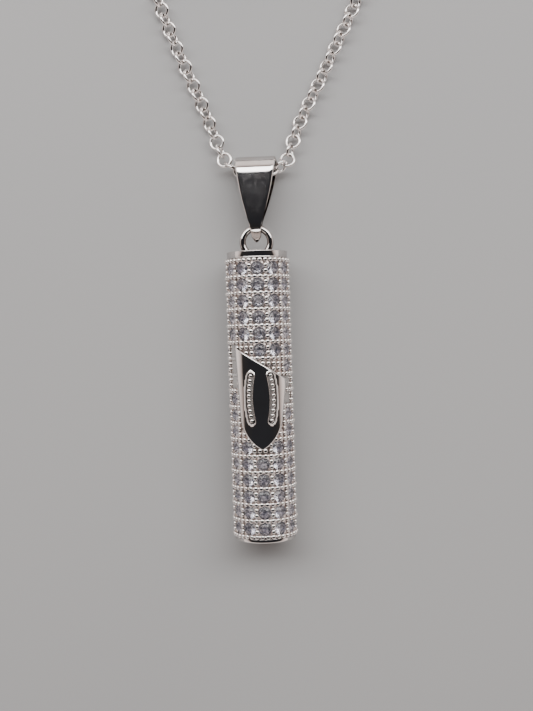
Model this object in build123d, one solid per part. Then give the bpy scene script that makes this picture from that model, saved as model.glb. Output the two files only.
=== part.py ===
"""Mezuzah case worn as a pendant: a pave-set silver tube with a wrapped front plaque, hung by a
folded bail on a round-link chain, with a rolled scroll inside.

It lies face up on a table. The tube's axis runs along Y with the bail towards +Y, X is to the
right, and +Z is up. The origin is under the middle of the pendant, on the table. Millimetres.
"""

import os
from math import cos, pi, radians, sin, sqrt, tan

from build123d import *

# Case: the tube's axis is AXIS_Z above the table, so that its beads just touch it.
CASE_REACH = 3.28  # radius over the milgrain beads
AXIS_Z = CASE_REACH
CASE_BOTTOM_Y = -19.15
LINER_INNER_R = 2.10
LINER_OUTER_R = 2.45
LINER_TOP_Y = 7.60

# Pave: rows of stones round the tube, between ribs of beads.
ROWS = 17
COLUMNS = 12
ROW_PITCH = 1.59
TOP_RIB_Y = 8.49
SLEEVE_TOP_Y = 8.70
SLEEVE_BOTTOM_Y = -18.75
STONE_RADIUS = 0.625
STONE_SEAT_R = 3.00  # radius at which the girdles sit
STONE_CROWN = 0.17
STONE_TABLE_R = 0.34
STONE_GIRDLE = 0.03
STONE_PAVILION = 0.46
SEAT_CLEARANCE = 0.02
SEAT_DRILL_R = 0.06

# Front plaque: a pointed shield, seen from the front, wrapped on the tube.
PLAQUE_INNER_R = 2.95
PLAQUE_OUTER_R = 3.32
PLAQUE_TOP_LEFT = (-2.50, 0.10)
PLAQUE_TOP_RIGHT = (2.58, -3.15)
PLAQUE_SHOULDER = (2.08, -6.90)
PLAQUE_TIP = (0.0, -10.02)
PLAQUE_BULGE = 0.50  # how far the lower edges swell out from straight
CHANNEL_FLOOR_R = 3.12
CHANNEL_WIDTH = 0.62
INLAY_OUTER_R = 3.27
INLAY_WIDTH = 0.50
CHANNEL_END_X = 0.95
CHANNEL_MIDDLE_X = 1.18
CHANNEL_TOP_Y = -2.75
CHANNEL_BOTTOM_Y = -7.15

# Caps, scroll and the ring on top.
CAP_RADIUS = 3.05
TOP_CAP_Y = 8.72
TOP_CAP_HEIGHT = 0.72
TOP_CAP_DOME = 0.16
TOP_SPIGOT = 1.60
CAP_ROUNDING = 0.12
BOTTOM_CHAMFER = 0.10
PLUG_CHAMFER = 0.20
SOLDER_GAP = 0.01  # the cap stands this far off the tubes that it is soldered to
BOTTOM_CAP_Y = -18.77
PLUG_LENGTH = 3.20
PLUG_CLEARANCE = 0.03
SCROLL_RADIUS = 1.60
SCROLL_CORE_R = 0.45
SCROLL_LENGTH = 20.5
SCROLL_GAP = 0.05
RING_Y = 10.45
RING_MEAN_R = 1.38
RING_WIRE_R = 0.33

# Bail: a tapered strip folded over the chain, its ends soldered together inside the ring.
STRIP = 0.38
LOOP_Y = 17.26
LOOP_Z = 2.05
LOOP_OUTER_R = 1.85
EYE_R = 0.52  # the bail's eye round the ring's wire
BAIL_END_Y = 10.40
BAIL_END_R = 0.32  # seen from the side
BAIL_END_Z = 3.04
BAIL_END_HALF_WIDTH = 0.45
BAIL_WAIST = (0.60, 12.45)
BAIL_SIDE = (1.46, 15.40)
BAIL_SHOULDER = (2.06, 18.60)
BAIL_TWIST = -5.5  # degrees about its own length
BAIL_YAW = -1.8  # degrees about the vertical, as it hangs in the ring

# Chain: round links 1.5 mm across. It leaves both mouths of the bail, lies on the table and
# ends in a flat two-layer coil, with the clasp in the coil's middle.
CHAIN_D = 1.50
CHAIN_Z = 0.76
LAYER_Z = (0.76, 2.275)
COIL_EASE = 0.005  # the coil solids stand this much clear of their turns, up and down
COIL_CENTRE = (0.80, 50.0)
COIL_OUTER_R = 11.65
COIL_INNER_R = 4.00
BAIL_MIDDLE = (0.18, 17.68, 1.69)
LEFT_ROUTE = [
    BAIL_MIDDLE,
    (-2.57, 17.77, 1.69),
    (-3.68, 20.75, 0.84),
    (-4.76, 23.80, CHAIN_Z),
    (-5.75, 26.30, CHAIN_Z),
    (-7.52, 30.50, CHAIN_Z),
    (-9.10, 34.90, CHAIN_Z),
    (-10.25, 39.60, CHAIN_Z),
    (-10.40, 44.60, CHAIN_Z),
    (-10.07, 50.00, LAYER_Z[0]),
]
RIGHT_ROUTE = [
    BAIL_MIDDLE,
    (3.06, 17.59, 1.69),
    (3.92, 20.55, 0.84),
    (5.12, 23.45, CHAIN_Z),
    (6.75, 26.40, CHAIN_Z),
    (8.48, 30.00, CHAIN_Z),
    (10.55, 33.90, CHAIN_Z),
    (12.15, 38.30, CHAIN_Z),
    (12.55, 42.80, 0.98),
    (12.20, 46.60, 2.275),
    (11.67, 50.00, LAYER_Z[1]),
]

# Clasp: a spring ring, its jump ring and the ring that it closes on.
CLASP_X = COIL_CENTRE[0] + 0.75
CLASP_Y = COIL_CENTRE[1]
CLASP_MEAN_R = 2.10
CLASP_TUBE_R = 0.62
CLASP_BORE_R = 0.40
BORE_WALL_R = 0.50
CLASP_Z = 0.64
BOLT_R = 0.36
GATE = (20, 70)  # degrees round the clasp
BORE = (8, 208)
BOLT = (12, 130)
KNOB_ANGLE = 102
KNOB_R = 0.26
KNOB_EASE = 0.05
KNOB_REACH = 3.05
KNOB_SLOT = (92, 168)
SPRING = (131, 207)
LUG_MEAN_R = 0.45
LUG_WIRE_R = 0.14
LUG_X = CLASP_X - CLASP_MEAN_R - CLASP_TUBE_R - 0.30  # its ring sinks a little into the tube
LINK_MEAN_R = 0.62
LINK_WIRE_R = 0.16
LINK_LIFT = 0.01
END_RING_MEAN_R = 1.35
END_RING_WIRE_R = 0.25
END_RING_GAP = 0.04


def along_axis(radius, y_low, y_high):
    """A cylinder on the tube's axis between two heights."""
    plane = Plane(origin=(0, y_low, AXIS_Z), x_dir=(1, 0, 0), z_dir=(0, 1, 0))
    return plane * Cylinder(radius, y_high - y_low, align=(Align.CENTER, Align.CENTER, Align.MIN))


def shell(inner, outer, y_low, y_high):
    """A plain tube on the case's axis."""
    return along_axis(outer, y_low, y_high) - along_axis(inner, y_low - 1, y_high + 1)


def plaque_outline():
    """The shield as seen from the front: slanted top, tapering sides and two swelling lower edges."""
    shoulder_x, shoulder_y = PLAQUE_SHOULDER
    tip_x, tip_y = PLAQUE_TIP
    middle = ((shoulder_x + tip_x) / 2, (shoulder_y + tip_y) / 2)
    chord = sqrt((shoulder_x - tip_x) ** 2 + (shoulder_y - tip_y) ** 2)
    out_x = PLAQUE_BULGE * (shoulder_y - tip_y) / chord
    out_y = -PLAQUE_BULGE * (shoulder_x - tip_x) / chord
    right_swell = (middle[0] + out_x, middle[1] + out_y)
    left_swell = (-right_swell[0], right_swell[1])
    left_shoulder = (-shoulder_x, shoulder_y)
    edges = [
        Line(PLAQUE_TOP_LEFT, PLAQUE_TOP_RIGHT),
        Line(PLAQUE_TOP_RIGHT, PLAQUE_SHOULDER),
        ThreePointArc(PLAQUE_SHOULDER, right_swell, PLAQUE_TIP),
        ThreePointArc(PLAQUE_TIP, left_swell, left_shoulder),
        Line(left_shoulder, PLAQUE_TOP_LEFT),
    ]
    return make_face(Wire(edges))


def bowed_band(side, width):
    """One of the two equal ornamental bands, closed at both ends, bowing out to its side."""
    middle_y = (CHANNEL_TOP_Y + CHANNEL_BOTTOM_Y) / 2
    spine = ThreePointArc(
        (side * CHANNEL_END_X, CHANNEL_TOP_Y),
        (side * CHANNEL_MIDDLE_X, middle_y),
        (side * CHANNEL_END_X, CHANNEL_BOTTOM_Y),
    )
    return SlotArc(spine, width)


def raised(outline):
    """An outline seen from the front, as a prism over the front half of the tube."""
    return Pos(0, 0, AXIS_Z) * extrude(outline, 2 * CASE_REACH)


def stone_places():
    """Rows of (angle, y) for the stones that the plaque leaves free; angle 0 faces up."""
    outline = plaque_outline()
    rows = []
    for row in range(ROWS):
        y = TOP_RIB_Y - (row + 0.5) * ROW_PITCH
        free = []
        for column in range(COLUMNS):
            angle = 360 * column / COLUMNS
            turn = radians(angle)
            in_front = cos(turn) > 0.1
            gap = outline.distance_to(Vertex(STONE_SEAT_R * sin(turn), y, 0))
            if not (in_front and gap < STONE_RADIUS * cos(turn) + SEAT_CLEARANCE):
                free.append((angle, y))
        rows.append(free)
    return rows


def at_stone(angle, y):
    """The place of a stone's girdle, its table looking out of the tube."""
    turn = radians(angle)
    outward = (sin(turn), 0, cos(turn))
    origin = (STONE_SEAT_R * outward[0], y, AXIS_Z + STONE_SEAT_R * outward[2])
    return Plane(origin=origin, x_dir=(0, 1, 0), z_dir=outward)


def stone():
    """A round brilliant as a turned solid: culet down, table up, girdle at its origin."""
    profile = Polyline(
        (0, -STONE_PAVILION),
        (STONE_RADIUS, 0),
        (STONE_RADIUS, STONE_GIRDLE),
        (STONE_TABLE_R, STONE_CROWN),
        (0, STONE_CROWN),
        close=True,
    )
    return revolve(Plane.XZ * make_face(profile), Axis.Z)


def seat():
    """The drilled and countersunk seat that a stone is dropped into."""
    mouth = STONE_RADIUS + SEAT_CLEARANCE
    profile = Polyline(
        (0, -STONE_PAVILION - SEAT_CLEARANCE),
        (SEAT_DRILL_R, -STONE_PAVILION - SEAT_CLEARANCE),
        (mouth, -SEAT_CLEARANCE),
        (mouth, STONE_RADIUS),
        (0, STONE_RADIUS),
        close=True,
    )
    return revolve(Plane.XZ * make_face(profile), Axis.Z)


def case_tube():
    return shell(LINER_INNER_R, LINER_OUTER_R, SLEEVE_BOTTOM_Y, LINER_TOP_Y)


def pave_sleeve(rows):
    """The outer sleeve, with its seats and the recess for the plaque."""
    cutter = seat()
    seats = [at_stone(angle, y) * cutter for row in rows for angle, y in row]
    sleeve = shell(LINER_OUTER_R, CASE_REACH, SLEEVE_BOTTOM_Y, SLEEVE_TOP_Y)
    recess = raised(plaque_outline()) - along_axis(PLAQUE_INNER_R, CASE_BOTTOM_Y, TOP_CAP_Y)
    return sleeve - recess - seats


def stones_row(places):
    gem = stone()
    return Compound(children=[at_stone(angle, y) * gem for angle, y in places])


def front_plaque():
    wall = shell(PLAQUE_INNER_R, PLAQUE_OUTER_R, PLAQUE_TIP[1] - 1, PLAQUE_TOP_LEFT[1] + 1)
    plaque = wall & raised(plaque_outline())
    groove = shell(CHANNEL_FLOOR_R, CASE_REACH + 1, PLAQUE_TIP[1], PLAQUE_TOP_LEFT[1])
    for side in (-1, 1):
        plaque -= groove & raised(bowed_band(side, CHANNEL_WIDTH))
    return plaque


def bead_inlay(side):
    wall = shell(CHANNEL_FLOOR_R, INLAY_OUTER_R, PLAQUE_TIP[1], PLAQUE_TOP_LEFT[1])
    return wall & raised(bowed_band(side, INLAY_WIDTH))


def top_cap():
    """A turned cap: a rounded rim, a low dome and a spigot soldered into the tube."""
    rim_top = TOP_CAP_Y + TOP_CAP_HEIGHT
    dome_foot = CAP_RADIUS - CAP_ROUNDING
    dome_r = (dome_foot**2 + TOP_CAP_DOME**2) / (2 * TOP_CAP_DOME)
    dome_y = rim_top + TOP_CAP_DOME - dome_r
    corner = CAP_ROUNDING * (1 - sqrt(0.5))
    foot_y = TOP_CAP_Y - TOP_SPIGOT
    step_y = LINER_TOP_Y + SOLDER_GAP
    lower = Polyline(
        (0, rim_top + TOP_CAP_DOME),
        (0, foot_y),
        (LINER_INNER_R - SOLDER_GAP, foot_y),
        (LINER_INNER_R - SOLDER_GAP, step_y),
        (LINER_OUTER_R - SOLDER_GAP, step_y),
        (LINER_OUTER_R - SOLDER_GAP, TOP_CAP_Y),
        (CAP_RADIUS, TOP_CAP_Y),
        (CAP_RADIUS, rim_top - CAP_ROUNDING),
    )
    rim = ThreePointArc(
        (CAP_RADIUS, rim_top - CAP_ROUNDING),
        (CAP_RADIUS - corner, rim_top - corner),
        (dome_foot, rim_top),
    )
    dome = ThreePointArc(
        (dome_foot, rim_top),
        (dome_foot / 2, dome_y + sqrt(dome_r**2 - dome_foot**2 / 4)),
        (0, rim_top + TOP_CAP_DOME),
    )
    turned = revolve(make_face(Wire([*lower.edges(), rim, dome])), Axis.Y)
    return Pos(0, 0, AXIS_Z) * turned


def cap_ring(cap):
    """The round wire ring, its lower part let into the cap."""
    return Pos(0, RING_Y, AXIS_Z) * Torus(RING_MEAN_R, RING_WIRE_R) - cap


def bottom_cap():
    """The screw plug: a thin flat rim and a plug that runs in the tube."""
    rim = along_axis(CAP_RADIUS, CASE_BOTTOM_Y, BOTTOM_CAP_Y)
    rim = chamfer(rim.edges().group_by(Axis.Y)[0], BOTTOM_CHAMFER)
    plug_radius = LINER_INNER_R - PLUG_CLEARANCE
    plug = along_axis(plug_radius, BOTTOM_CAP_Y, BOTTOM_CAP_Y + PLUG_LENGTH)
    plug = chamfer(plug.edges().group_by(Axis.Y)[-1], PLUG_CHAMFER)
    return rim + plug


def scroll():
    """The rolled parchment, standing on the plug."""
    start = BOTTOM_CAP_Y + PLUG_LENGTH + SCROLL_GAP
    return shell(SCROLL_CORE_R, SCROLL_RADIUS, start, start + SCROLL_LENGTH)


def bail():
    """Side profile as a strip round the loop and the eye, cut to the taper seen from the front."""
    eye_y = RING_Y + RING_MEAN_R
    side = Plane(origin=(0, 0, 0), x_dir=(0, 1, 0), z_dir=(1, 0, 0))
    loop = Pos(LOOP_Y, LOOP_Z)
    eye = Pos(eye_y, AXIS_Z)
    end = Pos(BAIL_END_Y + BAIL_END_R, BAIL_END_Z)
    circles = [loop * Circle(LOOP_OUTER_R), eye * Circle(EYE_R + STRIP), end * Circle(BAIL_END_R)]
    outer = make_hull([edge for circle in circles for edge in circle.edges()])
    openings = [loop * Circle(LOOP_OUTER_R - STRIP), eye * Circle(EYE_R)]
    inner = make_hull([edge for circle in openings for edge in circle.edges()])
    folded = extrude(side * (outer - inner), BAIL_SHOULDER[0], both=True)
    bail = folded & extrude(bail_front(), 2 * CASE_REACH)
    length = Axis((0, eye_y, AXIS_Z), (0, LOOP_Y - eye_y, LOOP_Z - AXIS_Z))
    upright = Axis((0, eye_y, AXIS_Z), (0, 0, 1))
    return bail.rotate(length, BAIL_TWIST).rotate(upright, BAIL_YAW)


def bail_front():
    """The bail's taper: wide at the fold, slightly full sides and a rounded end."""
    fold_y = LOOP_Y + LOOP_OUTER_R
    wide = BAIL_SHOULDER[0]
    end_x = BAIL_END_HALF_WIDTH
    end_y = BAIL_END_Y + end_x
    edges = [
        ThreePointArc((end_x, end_y), (0, BAIL_END_Y), (-end_x, end_y)),
        Line((-wide, fold_y), (wide, fold_y)),
    ]
    for way in (-1, 1):
        shoulder, side, waist = [(way * x, y) for x, y in (BAIL_SHOULDER, BAIL_SIDE, BAIL_WAIST)]
        edges.append(Line((way * wide, fold_y), shoulder))
        edges.append(ThreePointArc(shoulder, side, waist))
        edges.append(Line(waist, (way * end_x, end_y)))
    return make_face(Wire(edges))


def route_radii(points):
    """For each inner point, the largest arc that its two runs allow."""
    radii = []
    for before, corner, after in zip(points, points[1:], points[2:]):
        run_in = Vector(*corner) - Vector(*before)
        run_out = Vector(*after) - Vector(*corner)
        turn = radians(run_in.get_angle(run_out))
        radii.append(0.45 * min(run_in.length, run_out.length) / tan(turn / 2))
    return radii


def chain_tube(name, points):
    """A tube of the chain's outer diameter along its route."""
    radii = route_radii(points)
    path = FilletPolyline(*points, radius=radii)
    section = Plane(origin=path @ 0, z_dir=path % 0) * Circle(CHAIN_D / 2)
    tube = sweep(section, path=path)
    expected = pi * (CHAIN_D / 2) ** 2 * path.length
    print(name, "radii", [round(r, 2) for r in radii])
    print(name, "length", round(path.length, 2), "volume", round(tube.volume / expected, 4))
    return tube


def coil_layer(z):
    """The outer shape of one flat layer of the coil, its turns' centres at this height."""
    height = CHAIN_D + 2 * COIL_EASE
    return Pos(*COIL_CENTRE, z) * (Cylinder(COIL_OUTER_R, height) - Cylinder(COIL_INNER_R, height))


def up_to_coil(tube, *layers):
    """The tube as far as the coil's layers, which it meets face to face."""
    return (tube - list(layers)).solids().sort_by(SortBy.VOLUME)[-1]


def clasp_arc(radius, span):
    """Part of a ring of round section about the clasp's centre, between two angles."""
    section = Plane.XZ * Pos(CLASP_MEAN_R, 0) * Circle(radius)
    arc = revolve(section, Axis.Z, revolution_arc=span[1] - span[0])
    return Pos(CLASP_X, CLASP_Y, CLASP_Z) * Rot(0, 0, span[0]) * arc


def clasp_sector(span, half_height):
    """A block between two angles of the clasp, wider than its tube."""
    profile = Plane.XZ * Pos(CLASP_MEAN_R, 0) * Rectangle(3 * CLASP_TUBE_R, 2 * half_height)
    block = revolve(profile, Axis.Z, revolution_arc=span[1] - span[0])
    return Pos(CLASP_X, CLASP_Y, CLASP_Z) * Rot(0, 0, span[0]) * block


def clasp_body():
    """The spring ring's tube, open at the gate, with a thumb slot and a lug."""
    whole = Pos(CLASP_X, CLASP_Y, CLASP_Z) * Torus(CLASP_MEAN_R, CLASP_TUBE_R)
    bored = whole - clasp_arc(CLASP_BORE_R, BORE) - clasp_sector(GATE, 2 * CLASP_TUBE_R)
    slot = clasp_sector(KNOB_SLOT, KNOB_R + KNOB_EASE)
    hub = Pos(CLASP_X, CLASP_Y, CLASP_Z) * Cylinder(CLASP_MEAN_R, 2 * CLASP_TUBE_R)
    lug = Pos(LUG_X, CLASP_Y, CLASP_Z) * Torus(LUG_MEAN_R, LUG_WIRE_R)
    return bored - (slot - hub) + (lug - clasp_arc(BORE_WALL_R, BORE))


def clasp_trigger():
    """The curved bolt with its thumb knob."""
    turn = radians(KNOB_ANGLE)
    outward = (cos(turn), sin(turn), 0)
    foot = (CLASP_X + CLASP_MEAN_R * outward[0], CLASP_Y + CLASP_MEAN_R * outward[1], CLASP_Z)
    base = (Align.CENTER, Align.CENTER, Align.MIN)
    knob = Plane(origin=foot, z_dir=outward) * Cylinder(KNOB_R, KNOB_REACH - CLASP_MEAN_R, align=base)
    return clasp_arc(BOLT_R, BOLT) + knob


def clasp_spring():
    """The coil spring behind the bolt, as the space that it fills."""
    return clasp_arc(BOLT_R, SPRING)


def clasp_link():
    """The upright jump ring that joins the chain's end to the clasp's lug."""
    centre = Pos(LUG_X - LINK_MEAN_R, CLASP_Y, LINK_MEAN_R + LINK_WIRE_R + LINK_LIFT)
    return centre * Rot(90, 0, 0) * Torus(LINK_MEAN_R, LINK_WIRE_R)


def end_ring():
    """The ring on the chain's other end, lying on the clasp."""
    reach = END_RING_MEAN_R + END_RING_WIRE_R
    y = COIL_CENTRE[1] - COIL_INNER_R + reach + END_RING_GAP
    z = CLASP_Z + CLASP_TUBE_R + END_RING_WIRE_R + END_RING_GAP / 2
    return Pos(COIL_CENTRE[0], y, z) * Torus(END_RING_MEAN_R, END_RING_WIRE_R)


def build():
    """Every node of the part, by name."""
    rows = stone_places()
    cap = top_cap()
    lower = coil_layer(LAYER_Z[0])
    upper = coil_layer(LAYER_Z[1])
    nodes = {
        "case_tube": case_tube(),
        "pave_sleeve": pave_sleeve(rows),
        "front_plaque": front_plaque(),
        "bead_inlay_left": bead_inlay(-1),
        "bead_inlay_right": bead_inlay(1),
        "top_cap": cap,
        "cap_ring": cap_ring(cap),
        "bottom_cap": bottom_cap(),
        "scroll": scroll(),
        "bail": bail(),
        "chain_left": up_to_coil(chain_tube("chain_left", LEFT_ROUTE), lower),
        "chain_right": up_to_coil(chain_tube("chain_right", RIGHT_ROUTE), lower, upper),
        "chain_coil_lower": lower,
        "chain_coil_upper": upper,
        "clasp_body": clasp_body(),
        "clasp_trigger": clasp_trigger(),
        "clasp_spring": clasp_spring(),
        "clasp_link": clasp_link(),
        "end_ring": end_ring(),
    }
    for number, places in enumerate(rows, start=1):
        nodes[f"stones_row_{number:02d}"] = stones_row(places)
    print("stones", sum(len(row) for row in rows), [len(row) for row in rows])
    return nodes


def main():
    os.makedirs("parts", exist_ok=True)
    for name, shape in build().items():
        export_step(shape, f"parts/{name}.step")


main()
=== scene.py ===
"""The looks of the mezuzah case pendant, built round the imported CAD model.

Shapes are worked out in millimetres in the part's own frame and turned into metres in one place,
mesh_object. Only the chain's routes and the materials' reaches are in metres from the start.
The tube's axis runs along Y, the bail is towards +Y and the plaque faces +Z.
"""

from math import asin, atan2, cos, pi, radians, sin, sqrt, tan

import bpy
import numpy as np
from mathutils import Matrix, Vector
from mathutils.geometry import delaunay_2d_cdt


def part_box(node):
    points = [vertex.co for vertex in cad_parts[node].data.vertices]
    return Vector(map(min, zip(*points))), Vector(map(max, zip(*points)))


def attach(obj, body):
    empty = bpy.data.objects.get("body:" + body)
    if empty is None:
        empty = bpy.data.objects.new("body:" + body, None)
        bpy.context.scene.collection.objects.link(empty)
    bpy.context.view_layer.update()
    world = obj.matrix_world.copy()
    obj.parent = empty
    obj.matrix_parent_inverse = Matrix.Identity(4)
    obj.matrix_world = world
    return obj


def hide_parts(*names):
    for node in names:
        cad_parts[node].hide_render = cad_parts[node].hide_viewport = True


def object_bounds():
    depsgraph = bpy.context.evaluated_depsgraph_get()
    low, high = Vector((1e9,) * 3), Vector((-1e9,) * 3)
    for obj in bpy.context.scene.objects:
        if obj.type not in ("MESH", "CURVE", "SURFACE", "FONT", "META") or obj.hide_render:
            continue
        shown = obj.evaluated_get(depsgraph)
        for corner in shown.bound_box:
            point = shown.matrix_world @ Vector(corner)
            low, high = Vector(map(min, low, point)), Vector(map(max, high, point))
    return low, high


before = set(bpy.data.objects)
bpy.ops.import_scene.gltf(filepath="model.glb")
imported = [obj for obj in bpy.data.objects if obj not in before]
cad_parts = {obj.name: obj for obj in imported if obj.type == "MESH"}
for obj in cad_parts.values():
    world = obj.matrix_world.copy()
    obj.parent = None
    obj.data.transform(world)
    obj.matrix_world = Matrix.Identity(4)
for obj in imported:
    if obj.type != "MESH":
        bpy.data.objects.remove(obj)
cad_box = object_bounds()
MM = 0.001
rng = np.random.default_rng(7)


def box_mm(node):
    """A CAD node's lowest and highest corners, in millimetres."""
    low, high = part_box(node)
    return np.array(low) / MM, np.array(high) / MM


# -------- sizes read from the frame
sleeve_low, sleeve_high = box_mm("pave_sleeve")
REACH = (sleeve_high[0] - sleeve_low[0]) / 2
AXIS_Z = (sleeve_low[2] + sleeve_high[2]) / 2
SLEEVE_BOTTOM_Y = sleeve_low[1]
SLEEVE_TOP_Y = sleeve_high[1]
ROWS = 17
COLUMNS = 12
row_one = np.mean(box_mm("stones_row_01"), axis=0)
row_last = np.mean(box_mm(f"stones_row_{ROWS}"), axis=0)
PITCH = (row_one[1] - row_last[1]) / (ROWS - 1)
TOP_RIB_Y = row_one[1] + PITCH / 2
cad_low_y = cad_box[0][1] / MM

# -------- sizes of the visible detail
# the sleeve's beads
BEAD_R = 0.235
BEAD_FLATNESS = 3.3  # the power of its round outline, which is 2 for a ball
BEAD_TILTS = (12, 26, 40, 54, 68, 82, 97)  # degrees from the bead's pole
BEAD_CENTRE_R = REACH - BEAD_R
BEAD_SIZE_SPREAD = 0.025
BEAD_PLACE_SPREAD = 0.006
# the sleeve's cells
CELL_ANGLE = 360 / COLUMNS
BEAD_ANGLE = CELL_ANGLE / 3
CELL_POINTS = 32
FRONT_COS = 0.6  # the columns that face up have a larger cosine than this
# a cell's ridge, as shares of its size with radii from the tube's axis
RIDGE = ((1.0, 3.12), (0.96, 3.115), (0.86, 3.08), (0.80, 3.02))
# a drilled seat and a plain field: radii about the cell's middle, heights from the axis
SEAT_BOWL = ((0.68, 3.02), (0.645, 2.985), (0.635, 2.90), (0.30, 2.62), (0.04, 2.49))
PLAIN_BOWL = ((0.55, 3.035), (0.30, 3.06), (0.05, 3.07))
RIDGE_BANDS = 2  # bands of faces, from a cell's edge inwards, that are polished
RIM_BANDS = 5  # bands down to the drilled seat's wall
# the sleeve's ends, and what the plaque hides
SLEEVE_END_R = 3.06
SLEEVE_CHAMFER = 0.05
SLEEVE_BORE_R = 2.47
SLEEVE_STEPS = 144
HIDDEN_DEPTH = 1.3  # a cell this far inside the plaque's outline isn't made
BEAD_HIDDEN_DEPTH = 0.08
# the stones
STONE_R = 0.625
STONE_SEAT_R = 3.00
CULET_R = 2.54
STONE_TABLE_R = 0.34
STONE_STAR_R = 0.50
STONE_LOW_R = 0.16
STONE_TILT_SPREAD = 0.02
STONE_CROWN = 0.17
STONE_GIRDLE = 0.03
STONE_PAVILION = 0.42
# the plaque, with its corners in plan
PLAQUE_R = 3.32
PLAQUE_FOOT_R = 2.95
PLAQUE_TOP_LEFT = (-2.50, 0.10)
PLAQUE_TOP_RIGHT = (2.58, -3.15)
PLAQUE_SHOULDER = (2.08, -6.90)
PLAQUE_TIP = (0.0, -10.02)
PLAQUE_BULGE = 0.50
PLAQUE_ROUNDING = 0.15
PLAQUE_RIM_STEPS = (0.07, 0.2, 0.4, 0.7, 1.0)  # shares of the rounding, inwards
PLAQUE_GRID = (0.10, 0.22)
# the two bead bands in the plaque, as the right one lies
BAND_START = (0.95, -2.75)
BAND_END = (0.95, -7.15)
BAND_BOW = 0.23
BAND_HALF = 0.31
BAND_FLOOR_R = 3.18
BAND_LIP = (0.316, 0.36)  # from and to these distances from the band's middle
BAND_LIP_HEIGHT = 0.02
BAND_LIP_STEPS = (0, 0.12, 0.3, 0.5, 0.7, 0.88, 1.0)
BAND_CLEAR = (0.25, 0.48)  # no grid point lies between these distances from a band's middle
BAND_STRIP_HALF = 0.29
BAND_STRIP_CROWN = 0.03
BAND_BEAD_R = 0.22
BAND_BEAD_CENTRE_R = 3.11
BAND_BEAD_PITCH = 0.49
BAND_BEAD_SPREAD = 0.02
# the top cap and its ring
CAP_RADIUS = 3.05
CAP_CENTRE_R = 0.3
CAP_BORE_R = 2.43
CAP_BEAD_R = 0.05
CAP_NECK_R = 2.99
CAP_SHOULDER_R = 0.10
SPIGOT_R = 2.09
SPIGOT_LENGTH = 1.6
TOP_CAP_Y = 8.72
TOP_RIM_Y = 9.44
TOP_DOME_Y = 9.60
DOME_STEPS = 16
RING_Y = 10.45
RING_MEAN_R = 1.38
RING_WIRE_R = 0.33
# the screw plug
PLUG_R = 2.07
PLUG_LENGTH = 3.20
PLUG_EDGE_R = 0.12
PLUG_LIP_R = 0.04
PLUG_CENTRE_R = 0.2
THREAD_PITCH = 0.60
THREAD_DEPTH = 0.14
THREAD_FLANK = 4.8
THREAD_FADES = (0.25, 0.3)  # its fading lengths, at the rim and at the inner end
# the bail's side profile: circles with a Y, a Z and a radius
LOOP = (17.26, 2.05, 1.85)
EYE = (11.83, 3.28, 0.94)
BAIL_TIP = (10.561, 2.865, 0.15)
STRIP = 0.38
# the nose's side profile: arcs, each with a centre's Y and Z, a radius, and two tilts in degrees
BAIL_NOSE = ((12.90, 1.17, 3.00, -4, 33), (13.281, 0.583, 3.70, 33, 50))
NOSE_TOP_Y = 11.80  # below this the front has the beads' finish, whose painted shade darkens only close hollows
BAIL_WIDTHS = ((10.85, 0.45), (12.45, 0.60), (15.40, 1.46), (18.60, 2.06))
LEAST_HALF_WIDTH = 0.02
STATION_GAP = 0.28
FRONT_TURN = radians(84)  # the nose is part of the outer hull beyond this
SIDE_SHARE = 0.8  # how far down its side a section bends
# the strip's rounded edges: at two half-widths, how wide they are and how far they fall
EDGE_HALF_WIDTHS = (0.6, 1.3)
EDGE_WIDTHS = (0.70, 0.30)
EDGE_FALLS = (0.30, 0.20)
MOST_EDGE_WIDTH = 0.9  # of the half-width
MOST_EDGE_FALL = 0.75  # of the thickness
BAIL_TWIST = -5.5
BAIL_YAW = -1.8
# the camera, in millimetres and degrees
CAMERA_FOOT = (0.64, 2.05)
CAMERA_HEIGHT = 95.0
CAMERA_LENS = 48.1
CAMERA_PITCH = 1.78
CAMERA_ROLL = 1.8

# -------- the chain's sizes and routes
LINK_PITCH = 1.035
LINK_MEAN_R = 0.68
LINK_WIRE_R = 0.163
# the flat coil, in metres
COIL_CENTRE = (0.00080, 0.05000)
COIL_FIRST_R = 0.01087
COIL_PITCH = 0.00155
COIL_STEPS = 24  # points a turn
LEFT_TURNS = 3.75
RIGHT_TURNS = 3.25
LINK_TURN = 85  # degrees between neighbouring links
LINK_SWAY = 4  # degrees that a link strays
CHAIN_END_GAP = 0.2
# the links' lean changes between these distances, in millimetres and degrees
LEAN_DISTANCES = (3, 8)
LINK_LEANS = (8, 32)
# the halves' routes in metres: from the bail's middle to the coil, and on from it
LEFT_ROUTE = [
    (0.00018, 0.01768, 0.00169),
    (-0.00257, 0.01777, 0.00169),
    (-0.00368, 0.02075, 0.00084),
    (-0.00476, 0.02380, 0.00076),
    (-0.00575, 0.02630, 0.00076),
    (-0.00752, 0.03050, 0.00076),
    (-0.00910, 0.03490, 0.00076),
    (-0.01025, 0.03960, 0.00076),
    (-0.01040, 0.04460, 0.00076),
]
RIGHT_ROUTE = [
    (0.00018, 0.01768, 0.00169),
    (0.00306, 0.01759, 0.00169),
    (0.00392, 0.02055, 0.00084),
    (0.00512, 0.02345, 0.00076),
    (0.00675, 0.02640, 0.00076),
    (0.00848, 0.03000, 0.00076),
    (0.01055, 0.03390, 0.00076),
    (0.01215, 0.03830, 0.00076),
    (0.01255, 0.04280, 0.00098),
    (0.01220, 0.04660, 0.002275),
]
LEFT_TAIL = [
    (-0.00115, 0.04520, 0.00076),
    (-0.00275, 0.04640, 0.00076),
    (-0.00335, 0.04805, 0.00076),
    (-0.00290, 0.04965, 0.00078),
]
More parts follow.
